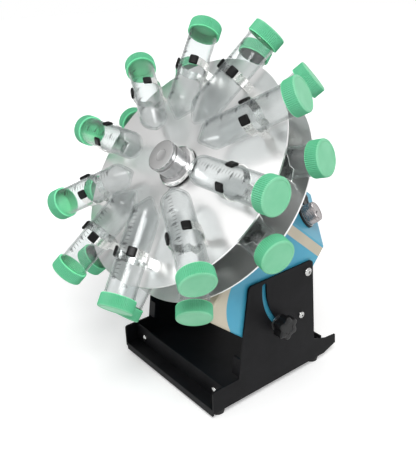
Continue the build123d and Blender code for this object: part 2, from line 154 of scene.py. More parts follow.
def remap(material, source, start, end, **values):
    """A Map Range node: values between the pair `start` come out between the pair `end`."""
    node = add_node(material, "ShaderNodeMapRange", **values)
    for socket, value in zip(("From Min", "From Max", "To Min", "To Max"), (*start, *end)):
        node.inputs[socket].default_value = value
    join(material, source, node.inputs["Value"])
    return node.outputs["Result"]


def add_grain(material, scale, height, strength=0.5):
    """A fine bump: powder coat, moulding texture or cast skin. Height is in metres."""
    shader = material.node_tree.nodes["Principled BSDF"]
    bump = add_node(material, "ShaderNodeBump", Strength=strength, Distance=height)
    join(material, object_noise(material, scale), bump.inputs["Height"])
    join(material, bump.outputs["Normal"], shader.inputs["Normal"])
    return material


DRIFT_RANGE = (0.35, 0.65)
COLOUR_A, COLOUR_B, COLOUR_OUT = 6, 7, 2


def add_drift(material, other_colour, scale):
    """Let the colour wander softly towards another one, through a Mix node's colour sockets."""
    shader = material.node_tree.nodes["Principled BSDF"]
    mix = add_node(material, "ShaderNodeMix", data_type="RGBA")
    mix.inputs[COLOUR_A].default_value = shader.inputs["Base Color"].default_value
    mix.inputs[COLOUR_B].default_value = (*other_colour, 1)
    share = remap(material, object_noise(material, scale, 4.0), DRIFT_RANGE, (0, 1))
    join(material, share, mix.inputs["Factor"])
    join(material, mix.outputs[COLOUR_OUT], shader.inputs["Base Color"])
    return material


def add_wear(material, scale, smooth, rough):
    """Let the roughness wander between two values, as handling and wiping leave it."""
    shader = material.node_tree.nodes["Principled BSDF"]
    spread = remap(material, object_noise(material, scale, 5.0), (0, 1), (smooth, rough))
    join(material, spread, shader.inputs["Roughness"])
    return material


# %% [markdown]
# The painted steel comes in three coats: black powder on the base, satin blue on the two shells
# and a warm pale grey on the chassis between them. Powder coat has a fine orange-peel skin, so all
# three get a shallow bump with features about half a millimetre across.

# %% Painted steel
black_coat = finish("black_powder_coat", paint(20, 20, 22), 0.5, specular_ior_level=0.12)
add_grain(black_coat, 2200, 0.00006)
add_drift(black_coat, paint(27, 27, 29), 40)
blue_paint = finish("blue_satin_paint", paint(62, 158, 192), 0.38, coat_weight=0.15,
                    coat_roughness=0.3)
add_grain(blue_paint, 1800, 0.00003)
add_drift(blue_paint, paint(74, 168, 198), 25)
cream_paint = finish("pale_chassis_paint", paint(206, 196, 176), 0.45)
add_grain(cream_paint, 1800, 0.00003)
add_drift(cream_paint, paint(197, 188, 168), 25)
print("coats", black_coat.name, blue_paint.name, cream_paint.name)

# %% [markdown]
# The discs are spun aluminium: a tool has turned round them and left rings too fine to see, which
# smear every reflection across the grain. A noise read from the distance to the axis makes the
# rings, and a tangent that runs round the axis tells the shader which way the grain goes. The
# shader smears along its tangent, so a quarter turn of rotation points the smear outwards.


# %% Spun aluminium
SMOOTHER, ROUGHER = 0.05, 0.07
RING_HEIGHT = 0.00002


def spun_metal(name, colour, roughness, ring_scale):
    material = finish(name, colour, roughness, 1.0, anisotropic=0.75, anisotropic_rotation=0.25)
    shader = material.node_tree.nodes["Principled BSDF"]
    where = add_node(material, "ShaderNodeTexCoord")
    from_middle = add_node(material, "ShaderNodeVectorMath", operation="SUBTRACT")
    from_middle.inputs[1].default_value = rotor_place.translation
    join(material, where.outputs["Object"], from_middle.inputs[0])
    round_axis = add_node(material, "ShaderNodeVectorMath", operation="CROSS_PRODUCT")
    round_axis.inputs[0].default_value = rotor_place.col[2].to_3d()
    join(material, from_middle.outputs["Vector"], round_axis.inputs[1])
    join(material, round_axis.outputs["Vector"], shader.inputs["Tangent"])
    reach = add_node(material, "ShaderNodeVectorMath", operation="LENGTH")
    join(material, round_axis.outputs["Vector"], reach.inputs[0])
    rings = add_node(material, "ShaderNodeTexNoise", noise_dimensions="1D", Scale=ring_scale,
                     Detail=2.0)
    join(material, reach.outputs["Value"], rings.inputs["W"])
    bump = add_node(material, "ShaderNodeBump", Strength=0.12, Distance=RING_HEIGHT)
    join(material, rings.outputs["Fac"], bump.inputs["Height"])
    join(material, bump.outputs["Normal"], shader.inputs["Normal"])
    tone = remap(material, rings.outputs["Fac"], (0, 1),
                 (roughness - SMOOTHER, roughness + ROUGHER))
    join(material, tone, shader.inputs["Roughness"])
    return material


disc_metal = spun_metal("spun_aluminium", (0.85, 0.85, 0.845), 0.3, 1400)
print("spun metal turns about", rotor_place.col[2].to_3d())

# %% [markdown]
# The small bright pieces are polished or plated. What separates them is roughness: a plated screw
# is nearly a mirror, a rolled spring is softer, and a turned shaft is softer still.

# %% Bright metals
plated = add_wear(finish("plated_screw", (0.50, 0.50, 0.49), 0.18, 1.0), 900, 0.12, 0.26)
spring_steel = add_wear(finish("spring_steel", (0.70, 0.70, 0.69), 0.26, 1.0), 700, 0.18, 0.36)
polished = add_wear(finish("polished_hub", (0.42, 0.42, 0.425), 0.2, 1.0), 300, 0.16, 0.26)
faced_metal = add_wear(finish("faced_metal", (0.5, 0.5, 0.497), 0.4, 1.0), 300, 0.36, 0.44)
bright_rim = add_wear(finish("bright_rim", (0.74, 0.74, 0.735), 0.12, 1.0), 300, 0.08, 0.16)
turned_steel = add_wear(finish("turned_steel", (0.56, 0.56, 0.56), 0.34, 1.0), 500, 0.26, 0.42)
knob_metal = add_wear(finish("satin_knob", (0.36, 0.335, 0.335), 0.26, 1.0), 600, 0.18, 0.34)
motor_case = add_grain(finish("cast_motor_case", (0.25, 0.25, 0.26), 0.5, 1.0), 900, 0.0001)
bush_brass = add_wear(finish("bush_brass", (0.72, 0.52, 0.22), 0.3, 1.0), 500, 0.22, 0.4)
print("materials so far", len(bpy.data.materials))

# %% [markdown]
# The soft blacks differ too. Rubber feet are dull, the dipped tips of the clips are a little
# shinier, and the moulded knob and switch have a fine spark-eroded texture.

# %% Rubber and moulded plastic
foot_rubber = add_grain(finish("foot_rubber", paint(26, 26, 26), 0.75), 1500, 0.00008)
tip_rubber = finish("dipped_tip", paint(7, 7, 8), 0.4, specular_ior_level=0.2)
add_wear(tip_rubber, 400, 0.3, 0.46)
add_grain(tip_rubber, 900, 0.00003, 0.3)
black_plastic = finish("black_moulded", paint(22, 22, 23), 0.38, specular_ior_level=0.3)
add_grain(black_plastic, 2500, 0.00004)
add_drift(black_plastic, paint(28, 28, 29), 60)


def cap_plastic(name, colour, lighter, roughness, gloss):
    """Moulded green plastic; the caps' tops, grips and insides differ in tone and gloss. The darker grip is
    painted shade and the lighter inside is painted light.
    """
    material = finish(name, colour, roughness, specular_ior_level=gloss)
    add_grain(material, 1600, 0.00003, 0.35)
    return add_drift(material, lighter, 45)


cap_green = cap_plastic("green_cap_plastic", paint(118, 198, 154), paint(131, 206, 165), 0.42, 0.4)
# The grip's darker green is painted shade, for the shade between the ribs.
grip_green_painted_shade = cap_plastic("green_cap_grip_painted_shade", paint(92, 184, 138), paint(104, 190, 148), 0.5, 0.3)
# The inside's lighter green is painted light, for daylight through the cap wall.
inner_green_painted_light = cap_plastic("green_cap_inside_painted_light", paint(132, 246, 184), paint(142, 248, 192), 0.6, 0.2)
print("materials so far", len(bpy.data.materials))

# %% [markdown]
# A sample tube is clear moulded plastic. Tracing real refraction through twenty hollow walls is
# slow and noisy, so three simple shaders are stacked instead: Transparent lets the disc show
# through, a Glossy part that grows towards the edges gives the long bright lines, and a little grey
# plastic, denser where you look along the wall, draws the outline. The neck sits tight in its cap,
# where nothing shines on it, so it gets the same mix with almost no gloss and lets the cap's green
# through.


# %% Clear plastic
CLEAR_TINT = (0.965, 0.975, 0.975, 1)
SHINE_RANGE = (0.1, 0.8)
DENSITY_RANGE = (0.12, 0.62)
LEAST_SHINE = 0.035


def mix_shaders(material, share, first, second):
    """All of the first shader where the share is 0, all of the second where it is 1."""
    mix = add_node(material, "ShaderNodeMixShader")
    join(material, share, mix.inputs["Fac"])
    join(material, first, mix.inputs[1])
    join(material, second, mix.inputs[2])
    return mix.outputs["Shader"]


def clear_plastic(name, body_colour, face_on, edge_on, gloss=0.7):
    material = finish(name, body_colour, 0.2, specular_ior_level=0.5)
    nodes = material.node_tree.nodes
    see_through = add_node(material, "ShaderNodeBsdfTransparent", Color=CLEAR_TINT)
    shine = add_node(material, "ShaderNodeBsdfGlossy", Color=(1, 1, 1, 1), Roughness=0.18)
    grazing = add_node(material, "ShaderNodeLayerWeight", Blend=0.15).outputs["Facing"]
    shine_share = remap(material, grazing, SHINE_RANGE, (LEAST_SHINE * gloss, gloss),
                        interpolation_type="SMOOTHSTEP")
    density = remap(material, grazing, DENSITY_RANGE, (face_on, edge_on),
                    interpolation_type="SMOOTHSTEP")
    surface = mix_shaders(material, shine_share, see_through.outputs["BSDF"], shine.outputs["BSDF"])
    body = mix_shaders(material, density, surface, nodes["Principled BSDF"].outputs["BSDF"])
    join(material, body, nodes["Material Output"].inputs["Surface"])
    return add_wear(material, 60, 0.16, 0.26)


tube_plastic = clear_plastic("clear_tube_plastic", (0.30, 0.33, 0.33), 0.02, 0.66)
neck_plastic = clear_plastic("clear_neck_plastic", (0.46, 0.49, 0.49), 0.0, 0.06, 0.1)
mark_ink = add_wear(finish("grey_mark_ink", paint(38, 42, 46), 0.5), 300, 0.4, 0.6)
print("materials so far", len(bpy.data.materials))

# %% [markdown]
# Most solids already have the right shape, so they keep their mesh and only take a finish. The
# record says which slot each one belongs to, and this table pairs the slots with the finishes.

# %% Dress the solids that stay
slot_finish = {
    "foot_rubber": foot_rubber, "tip_rubber": tip_rubber, "clear_tube": tube_plastic,
    "green_cap": cap_green, "black_coat": black_coat, "bright_screw": plated,
    "spring_steel": spring_steel, "disc_metal": disc_metal, "blue_paint": blue_paint,
    "cream_paint": cream_paint, "black_plastic": black_plastic, "turned_steel": turned_steel,
    "polished_metal": polished, "knob_metal": knob_metal, "motor_case": motor_case,
    "bush_brass": bush_brass,
}
for part in frame["record"]["subparts"]:
    solid = frame["nodes"][part["node"]]
    solid.data.materials.clear()
    solid.data.materials.append(slot_finish[part["material_slot"]])
print("dressed", len(frame["nodes"]), "solids")

# %% [markdown]
# ## Making pieces
# Round pieces come from one operator: a few edges drawn beside the axis are spun right round it
# and welded. `make_piece` then turns the bmesh into an object, recalculates its normals, smooths
# all but the sharp edges and tells the frame which body carries it. A Weighted Normal modifier lets
# the large flat faces win at their rims, so that only the narrow roundings look round.


# %% Piece helpers
SHARP = radians(38)
WELD = 0.000001


def make_piece(name, shape, body, material, replaces=()):
    bmesh.ops.recalc_face_normals(shape, faces=shape.faces)
    mesh = bpy.data.meshes.new(name)
    shape.to_mesh(mesh)
    shape.free()
    mesh.materials.append(material)
    for polygon in mesh.polygons:
        polygon.use_smooth = True
    mesh.set_sharp_from_angle(angle=SHARP)
    item = bpy.data.objects.new(name, mesh)
    bpy.context.scene.collection.objects.link(item)
    flat = item.modifiers.new("flat faces", "WEIGHTED_NORMAL")
    flat.keep_sharp = True
    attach(item, body)
    if replaces:
        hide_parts(*replaces)
    return item


def lathe(points, steps):
    """Spin (radius, height) points in millimetres round the local Z axis and weld the seam."""
    shape = bmesh.new()
    corners = [shape.verts.new((radius * MM, 0, height * MM)) for radius, height in points]
    edges = [shape.edges.new(pair) for pair in zip(corners, corners[1:])]
    bmesh.ops.spin(shape, geom=corners + edges, angle=2 * pi, steps=steps, axis=(0, 0, 1),
                   cent=(0, 0, 0), use_merge=True)
    bmesh.ops.remove_doubles(shape, verts=shape.verts, dist=WELD)
    return shape


def gather(shapes):
    """Several bmeshes joined into one."""
    whole = bmesh.new()
    for shape in shapes:
        scratch = bpy.data.meshes.new("scratch")
        shape.to_mesh(scratch)
        shape.free()
        whole.from_mesh(scratch)
        bpy.data.meshes.remove(scratch)
    return whole


# %% [markdown]
# ## Tubes
# Ten tubes lie on each disc like the spokes of a wheel, tips inwards. The rear disc's tubes stand
# 21.5 degrees round from the front ones, so they show between them. `tube_place` lays a piece made
# about its own Z axis along one spoke, where its height becomes the distance from the rotor's axis.
# `ring_of` makes one shape for each spoke of a disc and joins the ten into one bmesh.

# %% Where the tubes lie
TUBES = 10
TUBE_HEIGHT = 23.0
DISC_PITCH = 44.4
DISCS = {"front": (0.0, 0.0), "rear": (-DISC_PITCH, 21.5)}


def spoke(disc_name, number):
    """The place of one spoke: X runs outwards over the disc, Z stands out of it."""
    face, start = DISCS[disc_name]
    turn = Matrix.Rotation(radians(start + 360 / TUBES * number), 4, "Z")
    return rotor_place @ Matrix.Translation((0, 0, face * MM)) @ turn


def tube_place(disc_name, number):
    lift = Matrix.Translation((0, 0, TUBE_HEIGHT * MM))
    return spoke(disc_name, number) @ lift @ Matrix.Rotation(pi / 2, 4, "Y")


def ring_of(make_shape, disc_name, place=tube_place):
    shapes = []
    for number in range(TUBES):
        shape = make_shape()
        shape.transform(place(disc_name, number))
        shapes.append(shape)
    return gather(shapes)


# %% [markdown]
# A 50 mL tube is 30 mm across with a thin wall and a conical end. The wall is one closed profile,
# up the outside and down the inside, spun in forty-eight steps. The cone's corner is eased, because
# a moulded tube has no sharp line there, and a bead runs round it just under the cap. Heights are
# distances from the rotor's axis.

# %% Sample tubes
TUBE_RADIUS = 15.0
TUBE_WALL = 1.2
TUBE_RIM = 159.0
TUBE_TIP = 44.5
CONE = 16.0
BEAD_AT = 146.0
BEAD_RADIUS = 15.4
NECK_START = 147.5
TUBE_STEPS = 48


def tube_shape():
    inner = TUBE_RADIUS - TUBE_WALL
    shoulder = TUBE_TIP + CONE
    outside = [(0, TUBE_TIP), (2.4, TUBE_TIP), (3.0, TUBE_TIP + 0.6), (13.6, shoulder - 2.0),
               (14.5, shoulder - 0.4), (14.9, shoulder + 1.4), (TUBE_RADIUS, shoulder + 3.5),
               (TUBE_RADIUS, BEAD_AT - 1.6), (BEAD_RADIUS, BEAD_AT - 0.9), (BEAD_RADIUS, BEAD_AT),
               (TUBE_RADIUS, BEAD_AT + 0.6), (TUBE_RADIUS, NECK_START), (TUBE_RADIUS, TUBE_RIM)]
    inside = [(inner, TUBE_RIM), (inner, NECK_START), (inner, shoulder + 3.0),
              (inner - 0.9, shoulder), (2.2, TUBE_TIP + 2.6), (0, TUBE_TIP + 2.0)]
    shape = lathe(outside + inside, TUBE_STEPS)
    for face in shape.faces:
        face.material_index = int(face.calc_center_median().z > NECK_START * MM)
    return shape


for disc_name in DISCS:
    for number in range(TUBES):
        node = f"{disc_name}_tube_{number + 1:02d}"
        shape = tube_shape()
        shape.transform(tube_place(disc_name, number))
        tube = make_piece(f"{node}_clear", shape, "rotor", tube_plastic, (node,))
        tube.data.materials.append(neck_plastic)
print("tubes", 2 * TUBES)

# %% [markdown]
# ## Caps
# The grip of a screw cap is a ring of fine upright ribs. They could be cut one by one, but a ring
# that is ribbed from the start needs only one shape: a circle with two points for each rib, whose
# every second point is pulled in a little. `walk_ring` then extrudes the edge step by step.


# %% Ring helpers
def walk_ring(shape, edges, steps):
    """Extrude a ring of edges through (radius scale, rise in millimetres) steps."""
    for scale, rise in steps:
        grown = bmesh.ops.extrude_edge_only(shape, edges=edges)["geom"]
        corners = [item for item in grown if isinstance(item, bmesh.types.BMVert)]
        edges = [item for item in grown if isinstance(item, bmesh.types.BMEdge)]
        bmesh.ops.scale(shape, vec=(scale, scale, 1), verts=corners)
        bmesh.ops.translate(shape, vec=(0, 0, rise * MM), verts=corners)
    return edges


def ribbed_ring(radius, ribs, depth, height):
    """A bmesh with one ring of edges, whose every second corner is pulled in by the rib depth."""
    shape = bmesh.new()
    bmesh.ops.create_circle(shape, segments=2 * ribs, radius=radius * MM)
    ring = list(shape.edges)
    corners = list(shape.verts)
    valley = (radius - depth) / radius
    bmesh.ops.scale(shape, vec=(valley, valley, 1), verts=corners[::2])
    bmesh.ops.translate(shape, vec=(0, 0, height * MM), verts=corners)
    return shape, ring

# %% [markdown]
# The edge goes up the ribbed wall, over a rounded shoulder, and in across the top with its shallow
# dish. The lower edge is extruded the other way to make the skirt's thickness. The grip takes a
# deeper green than the top: painted shade, standing in for the shade between the ribs. The inside
# takes a lighter green: painted light, standing in for the daylight that a thin moulded cap lets
# through its wall, which a solid colour can't do.

# %% Screw caps
CAP_RADIUS = 17.5
CAP_RIBS = 60
RIB_DEPTH = 0.55
CAP_FOOT = 147.5
CAP_END = 160.5
SKIRT_EDGE = 0.6
THREAD_ROOM = 0.45
SHADED_GRIP_SLOPE = 0.35
TOP, SHADED_GRIP, LIT_INSIDE = 0, 1, 2


def cap_shape():
    shape, ring = ribbed_ring(CAP_RADIUS, CAP_RIBS, RIB_DEPTH, CAP_FOOT + SKIRT_EDGE)
    height = CAP_END - CAP_FOOT
    top = walk_ring(shape, ring, [(1, height - 1.9), (0.985, 0.5), (0.972, 0.5), (0.955, 0.3),
                                  (0.93, 0), (0.985, -0.35), (0.5, 0), (0.35, 0)])
    bmesh.ops.edgeloop_fill(shape, edges=top)
    shape.normal_update()
    for face in shape.faces:
        # Faces of the ribbed wall take the darker green, which is painted shade.
        face.material_index = SHADED_GRIP if abs(face.normal.z) < SHADED_GRIP_SLOPE else TOP
    inner = (TUBE_RADIUS + THREAD_ROOM) / (CAP_RADIUS - RIB_DEPTH)
    outer_faces = set(shape.faces)
    inside = walk_ring(shape, ring, [(0.985, -SKIRT_EDGE), (inner, 0), (1, height - 2.0), (0.1, 0)])
    bmesh.ops.edgeloop_fill(shape, edges=inside)
    # The inside faces take the lighter green, which is painted light.
    for face in set(shape.faces) - outer_faces:
        face.material_index = LIT_INSIDE
    return shape


for disc_name in DISCS:
    ribbed = make_piece(f"{disc_name}_ribbed_caps", ring_of(cap_shape, disc_name), "rotor",
                        cap_green, (f"{disc_name}_caps",))
    ribbed.data.materials.append(grip_green_painted_shade)
    ribbed.data.materials.append(inner_green_painted_light)
print("caps", 2 * TUBES, "with", CAP_RIBS, "ribs")

# %% [markdown]
# ## The scale on each tube
# A sample tube is printed with a volume scale: short lines every 2.5 mL, longer ones every 10 mL
# with their number. The print could be a texture, but a thin mesh keeps its crisp edge close up. A
# line is a tiny rectangle spun part of a turn round the tube, so it hugs the wall.

# %% Scale lines
INK_LIFT = 0.06
SCALE_START = 66.0
SCALE_STEP = 4.15
SCALE_LINES = 17
LINE_WIDTH = 0.38
LONG_LINE = radians(30)
SHORT_LINE = radians(16)


def scale_line(height, sweep):
    """A line round the side of the tube that faces away from the disc, which is its local -X."""
    shape = bmesh.new()
    bmesh.ops.create_grid(shape, x_segments=1, y_segments=1, size=0.5 * MM)
    bmesh.ops.scale(shape, vec=(2 * INK_LIFT, LINE_WIDTH, 1), verts=shape.verts)
    bmesh.ops.rotate(shape, matrix=Matrix.Rotation(pi / 2, 3, "X"), verts=shape.verts)
    bmesh.ops.translate(shape, vec=(-TUBE_RADIUS * MM, 0, height * MM), verts=shape.verts)
    whole = list(shape.verts) + list(shape.edges) + list(shape.faces)
    bmesh.ops.spin(shape, geom=whole, angle=sweep, steps=5, axis=(0, 0, 1), cent=(0, 0, 0))
    return shape


# %% [markdown]
# A number starts as a Text object, is made a mesh, and is then rolled round the wall by turning its
# flat x into an angle. The whole scale sits a little to one side of the tube's outer face.

# %% Numbers and the whole scale
LONG_EVERY = 4
NUMBER_STEP = 10
NUMBER_SIZE = 4.4
NUMBER_START = radians(5)
SCALE_TURN = radians(-20)


def scale_number(text, height, start):
    """A printed number, rolled round the tube from the given angle."""
    letters = bpy.data.curves.new("number", "FONT")
    letters.body = text
    letters.size = NUMBER_SIZE * MM
    letters.resolution_u = 3
    letters.extrude = INK_LIFT * MM
    letters.align_y = "CENTER"
    holder = bpy.data.objects.new("number", letters)
    flat = bpy.data.meshes.new_from_object(holder)
    shape = bmesh.new()
    shape.from_mesh(flat)
    bpy.data.objects.remove(holder)
    bpy.data.meshes.remove(flat)
    for corner in shape.verts:
        turn = start + corner.co.x / (TUBE_RADIUS * MM)
        reach = TUBE_RADIUS * MM + corner.co.z
        corner.co = (-cos(turn) * reach, -sin(turn) * reach, height * MM + corner.co.y)
    return shape


def printed_scale():
    marks = []
    for line in range(SCALE_LINES):
        height = SCALE_START + SCALE_STEP * line
        long_one = line % LONG_EVERY == 0
        marks.append(scale_line(height, LONG_LINE if long_one else SHORT_LINE))
        if long_one:
            volume = NUMBER_STEP * (line // LONG_EVERY + 1)
            marks.append(scale_number(str(volume), height, NUMBER_START))
    shape = gather(marks)
    bmesh.ops.rotate(shape, matrix=Matrix.Rotation(SCALE_TURN, 3, "Z"), verts=shape.verts)
    return shape


for disc_name in DISCS:
    make_piece(f"{disc_name}_tube_scales", ring_of(printed_scale, disc_name), "rotor", mark_ink)
print("scale lines on each tube", SCALE_LINES)

# %% [markdown]
# ## Soft tips
# The two ends of each spring clip carry black rubber sleeves that press on the tube. One sleeve is
# a rectangle with round corners, spun 23 degrees round the tube. Its two end faces are then inset
# and raised twice, so that they swell like an end that was dipped.

# %% Clip tips
CLIP_RADIUS = 106.0
TIP_INNER = 15.1
TIP_OUTER = 18.1
TIP_WIDTH = 10.0
TIP_START = radians(33)
TIP_SWEEP = radians(23)
TIP_ROUND = 1.4
TIP_DOMES = ((0.5, 0.9), (0.8, 0.45))


def soft_tip(side):
    """One sleeve, made round the tube's axis, with the clip's middle at height CLIP_RADIUS."""
    shape = bmesh.new()
    bmesh.ops.create_grid(shape, x_segments=1, y_segments=1, size=0.5 * MM)
    bmesh.ops.scale(shape, vec=(TIP_OUTER - TIP_INNER, TIP_WIDTH, 1), verts=shape.verts)
    bmesh.ops.bevel(shape, geom=list(shape.verts), affect="VERTICES", offset=TIP_ROUND * MM,
                    segments=4, profile=0.5, material=-1)
    bmesh.ops.rotate(shape, matrix=Matrix.Rotation(pi / 2, 3, "X"), verts=shape.verts)
    middle = -(TIP_INNER + TIP_OUTER) / 2
    bmesh.ops.translate(shape, vec=(middle * MM, 0, CLIP_RADIUS * MM), verts=shape.verts)
    bmesh.ops.rotate(shape, matrix=Matrix.Rotation(side * TIP_START, 3, "Z"), verts=shape.verts)
    whole = list(shape.verts) + list(shape.edges) + list(shape.faces)
    bmesh.ops.spin(shape, geom=whole, angle=side * TIP_SWEEP, steps=6, axis=(0, 0, 1),
                   cent=(0, 0, 0))
    bmesh.ops.recalc_face_normals(shape, faces=shape.faces)
    ends = [face for face in shape.faces if len(face.verts) > 4]
    for inward, outward in TIP_DOMES:
        bmesh.ops.inset_individual(shape, faces=ends, thickness=inward * MM, depth=outward * MM)
    return shape


def tip_pair():
    return gather([soft_tip(-1), soft_tip(1)])


for disc_name in DISCS:
    make_piece(f"{disc_name}_soft_tips", ring_of(tip_pair, disc_name), "rotor", tip_rubber,
               (f"{disc_name}_clip_tips",))
print("soft tips", 4 * TUBES)

# %% [markdown]
# Each clip is fixed to its disc by a rivet through its foot. The rivet's domed head shows on the
# back of the disc, and its flatter closing head lies inside the clip.

# %% Clip rivets
DISC_THICKNESS = 2.0
CLIP_STEEL = 1.0
RIVET_STEPS = 20


def rivet_shape():
    back = -DISC_THICKNESS
    return lathe([(0, back - 1.3), (1.2, back - 1.15), (2.2, back - 0.7), (2.7, back),
                  (1.5, back + 0.05), (1.5, CLIP_STEEL), (2.6, CLIP_STEEL),
                  (2.4, CLIP_STEEL + 0.5), (1.4, CLIP_STEEL + 0.8), (0, CLIP_STEEL + 0.9)],
                 RIVET_STEPS)


def clip_foot(disc_name, number):
    return spoke(disc_name, number) @ Matrix.Translation((CLIP_RADIUS * MM, 0, 0))


for disc_name in DISCS:
    make_piece(f"{disc_name}_clip_rivets", ring_of(rivet_shape, disc_name, clip_foot), "rotor",
               plated)
print("rivets", 2 * TUBES)

# %% [markdown]
# ## Screws
# Button-head screws hold the base together and carry the housing. The dome is spun down to a small
# open ring in its top. Moving that ring's points onto a hexagon and extruding it downwards leaves
# the socket for a key, with no need for a Boolean cut.

# %% Button screw
SOCKET_POINTS = 24
SOCKET_DEPTH = 0.55
DOME_START = 0.35
DOME_TURNS = [radians(degrees) for degrees in (0, 15, 30, 45)]


def button_screw(head, rise, socket, shank, length):
    """A screw about local Z whose head rises from 0; every size is a radius or a height."""
    dome = [(head * cos(turn), rise * (DOME_START + (1 - DOME_START) * sin(turn)))
            for turn in DOME_TURNS]
    shape = lathe([(0, -length), (shank, -length), (shank, 0), (head, 0)] + dome + [(socket, rise)],
                  SOCKET_POINTS)
    rim = [edge for edge in shape.edges if edge.is_boundary]
    for corner in {corner for edge in rim for corner in edge.verts}:
        turn = atan2(corner.co.y, corner.co.x) % (pi / 3) - pi / 6
        size = socket * MM * cos(pi / 6) / cos(turn)
        flat = corner.co.to_2d().normalized() * size
        corner.co = (flat.x, flat.y, corner.co.z)
    floor_ring = walk_ring(shape, rim, [(1, -SOCKET_DEPTH * rise)])
    bmesh.ops.edgeloop_fill(shape, edges=floor_ring)
    return shape


def facing(point, out):
    """A matrix that stands local Z along out at a point given in metres."""
    place = Vector(out).to_track_quat("Z", "X").to_matrix().to_4x4()
    place.translation = point
    return place


# %% [markdown]
# Each screw stands where its solid does. The two large ones are the pivots that the housing tilts
# on, so they lie on the hinge's own line, and the boxes of the solids place the others.

# %% Place the screws
plate_face = Vector(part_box("side_plate_right")[1]).x
pivot_point = Vector(joints["housing_tilt"]["pos_m"])
for side, name in ((-1, "left"), (1, "right")):
    shape = button_screw(head=5.0, rise=3.0, socket=1.7, shank=3.0, length=14.0)
    shape.transform(facing((side * plate_face, pivot_point.y, pivot_point.z), (side, 0, 0)))
    make_piece(f"pivot_screw_{name}", shape, "base", plated, ("pivot_screws",))
low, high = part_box("plate_screw")
shape = button_screw(head=4.0, rise=2.4, socket=1.3, shank=2.0, length=2.0)
shape.transform(facing((plate_face, (low[1] + high[1]) / 2, (low[2] + high[2]) / 2), (1, 0, 0)))
make_piece("plate_screw_socket", shape, "base", plated, ("plate_screw",))

FLANGE_HEAD = 4.0
FLANGE_RISE = 2.4
low, high = (Vector(corner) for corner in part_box("flange_screws"))
screws = []
for across in (low.x + FLANGE_HEAD * MM, high.x - FLANGE_HEAD * MM):
    for along, out in ((low.y + FLANGE_RISE * MM, -1), (high.y - FLANGE_RISE * MM, 1)):
        shape = button_screw(FLANGE_HEAD, FLANGE_RISE, socket=1.3, shank=2.0, length=9.0)
        shape.transform(facing(Vector((across, along, (low.z + high.z) / 2)), (0, out, 0)))
        screws.append(shape)
make_piece("flange_socket_screws", gather(screws), "base", plated,
           ("flange_screws",))
print("screws", len(screws) + 3)

# %% [markdown]
# ## Knobs
# The tilt clamp is a six-lobed star knob. A round ring of points is pushed out and in by a cosine
# that repeats six times, which gives lobes with no corners, and the ring is then extruded over
# a rounded shoulder. A plated stud runs from the knob through the slot into the housing.

# %% Clamp knob
STAR_LOBES = 6
STUD_RADIUS = 3.0
clamp_place = facing(joints["clamp_turn"]["pos_m"], (1, 0, 0))
clamp_low, clamp_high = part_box("clamp_knob")
clamp_reach = (clamp_high[0] - joints["clamp_turn"]["pos_m"][0]) / MM
clamp_depth = (joints["clamp_turn"]["pos_m"][0] - clamp_low[0]) / MM


def star_knob(mean, swing, base, top):
    """A star grip about local Z between two heights, on a plain neck."""
    shape = bmesh.new()
    bmesh.ops.create_circle(shape, segments=12 * STAR_LOBES, radius=mean * MM)
    for corner in shape.verts:
        turn = atan2(corner.co.y, corner.co.x)
        corner.co *= 1 + swing / mean * cos(STAR_LOBES * turn)
    bmesh.ops.translate(shape, vec=(0, 0, (base + 1) * MM), verts=shape.verts)
    ring = list(shape.edges)
    upper = walk_ring(shape, ring, [(1, top - base - 3), (0.985, 0.8), (0.95, 0.7), (0.89, 0.5),
                                    (0.62, 0), (0.94, -0.5), (0.62, 0), (0.5, 0)])
    bmesh.ops.edgeloop_fill(shape, edges=upper)
    lower = walk_ring(shape, ring, [(0.97, -0.7), (0.92, -0.3), (0.6, 0), (0.5, 0)])
    bmesh.ops.edgeloop_fill(shape, edges=lower)
    return shape


neck = lathe([(0, 1.8), (7.5, 1.8), (7.5, 5.2), (7.0, 6.3), (0, 6.3)], 40)
star = gather([star_knob(mean=12.2, swing=1.6, base=5.8, top=clamp_reach), neck])
star.transform(clamp_place)
make_piece("star_knob", star, "clamp", black_plastic, ("clamp_knob",))
stud = lathe([(0, -clamp_depth), (STUD_RADIUS, -clamp_depth), (STUD_RADIUS, 3.0), (0, 3.0)], 32)
stud.transform(clamp_place)
make_piece("clamp_stud", stud, "clamp", plated, ("clamp_knob",))
print("clamp knob stands out", round(clamp_reach, 1), "mm")

# %% [markdown]
# The hub clamps the discs to the shaft: a wide flange with a bright rounded rim on a black ring,
# a straight grip, a groove, and a head with an eased edge. The black ring is painted shade: it
# stands in for the shade at the foot of the flange. The rim is its own piece, because it is
# polished brighter than the rest. The end faces keep the duller finish of a facing cut, so every
# face that looks along the axis takes a second material.

# %% Hub
HUB_STEPS = 96
HUB_TOP = 28.0
FACED = 0.9
# The black ring is painted shade, a dark ring put where the flange's foot lies in shade.
painted_shade_ring = lathe([(6.1, 0.02), (23, 0.02), (23, 1.7), (22.7, 2.0), (6.1, 2.0), (6.1, 0.02)],
               HUB_STEPS)
painted_shade_ring.transform(rotor_place)
make_piece("hub_painted_shade_ring", painted_shade_ring, "rotor", black_plastic)
rim = lathe([(14, 2.0), (22.0, 2.0), (22.7, 2.4), (23, 3.2), (22.9, 4.2), (22.4, 5.1), (21.4, 5.7),
             (20.0, 6.0), (14, 6.0), (14, 2.0)], HUB_STEPS)
rim.transform(rotor_place)
make_piece("hub_rim", rim, "rotor", bright_rim, ("hub_flange",))
hub = lathe([(0, 5.9), (17.3, 5.9), (17.3, 6.8), (16.5, 7.2), (16.5, 20.6), (16.1, 21.0),
             (14.5, 21.0), (14.5, 23.5), (16.0, 23.5), (16.6, 23.8), (16.8, 24.4), (16.8, 26.8),
             (16.5, 27.6), (15.8, HUB_TOP), (6.5, HUB_TOP), (6.2, 27.8), (0, 27.8)], HUB_STEPS)
hub.normal_update()
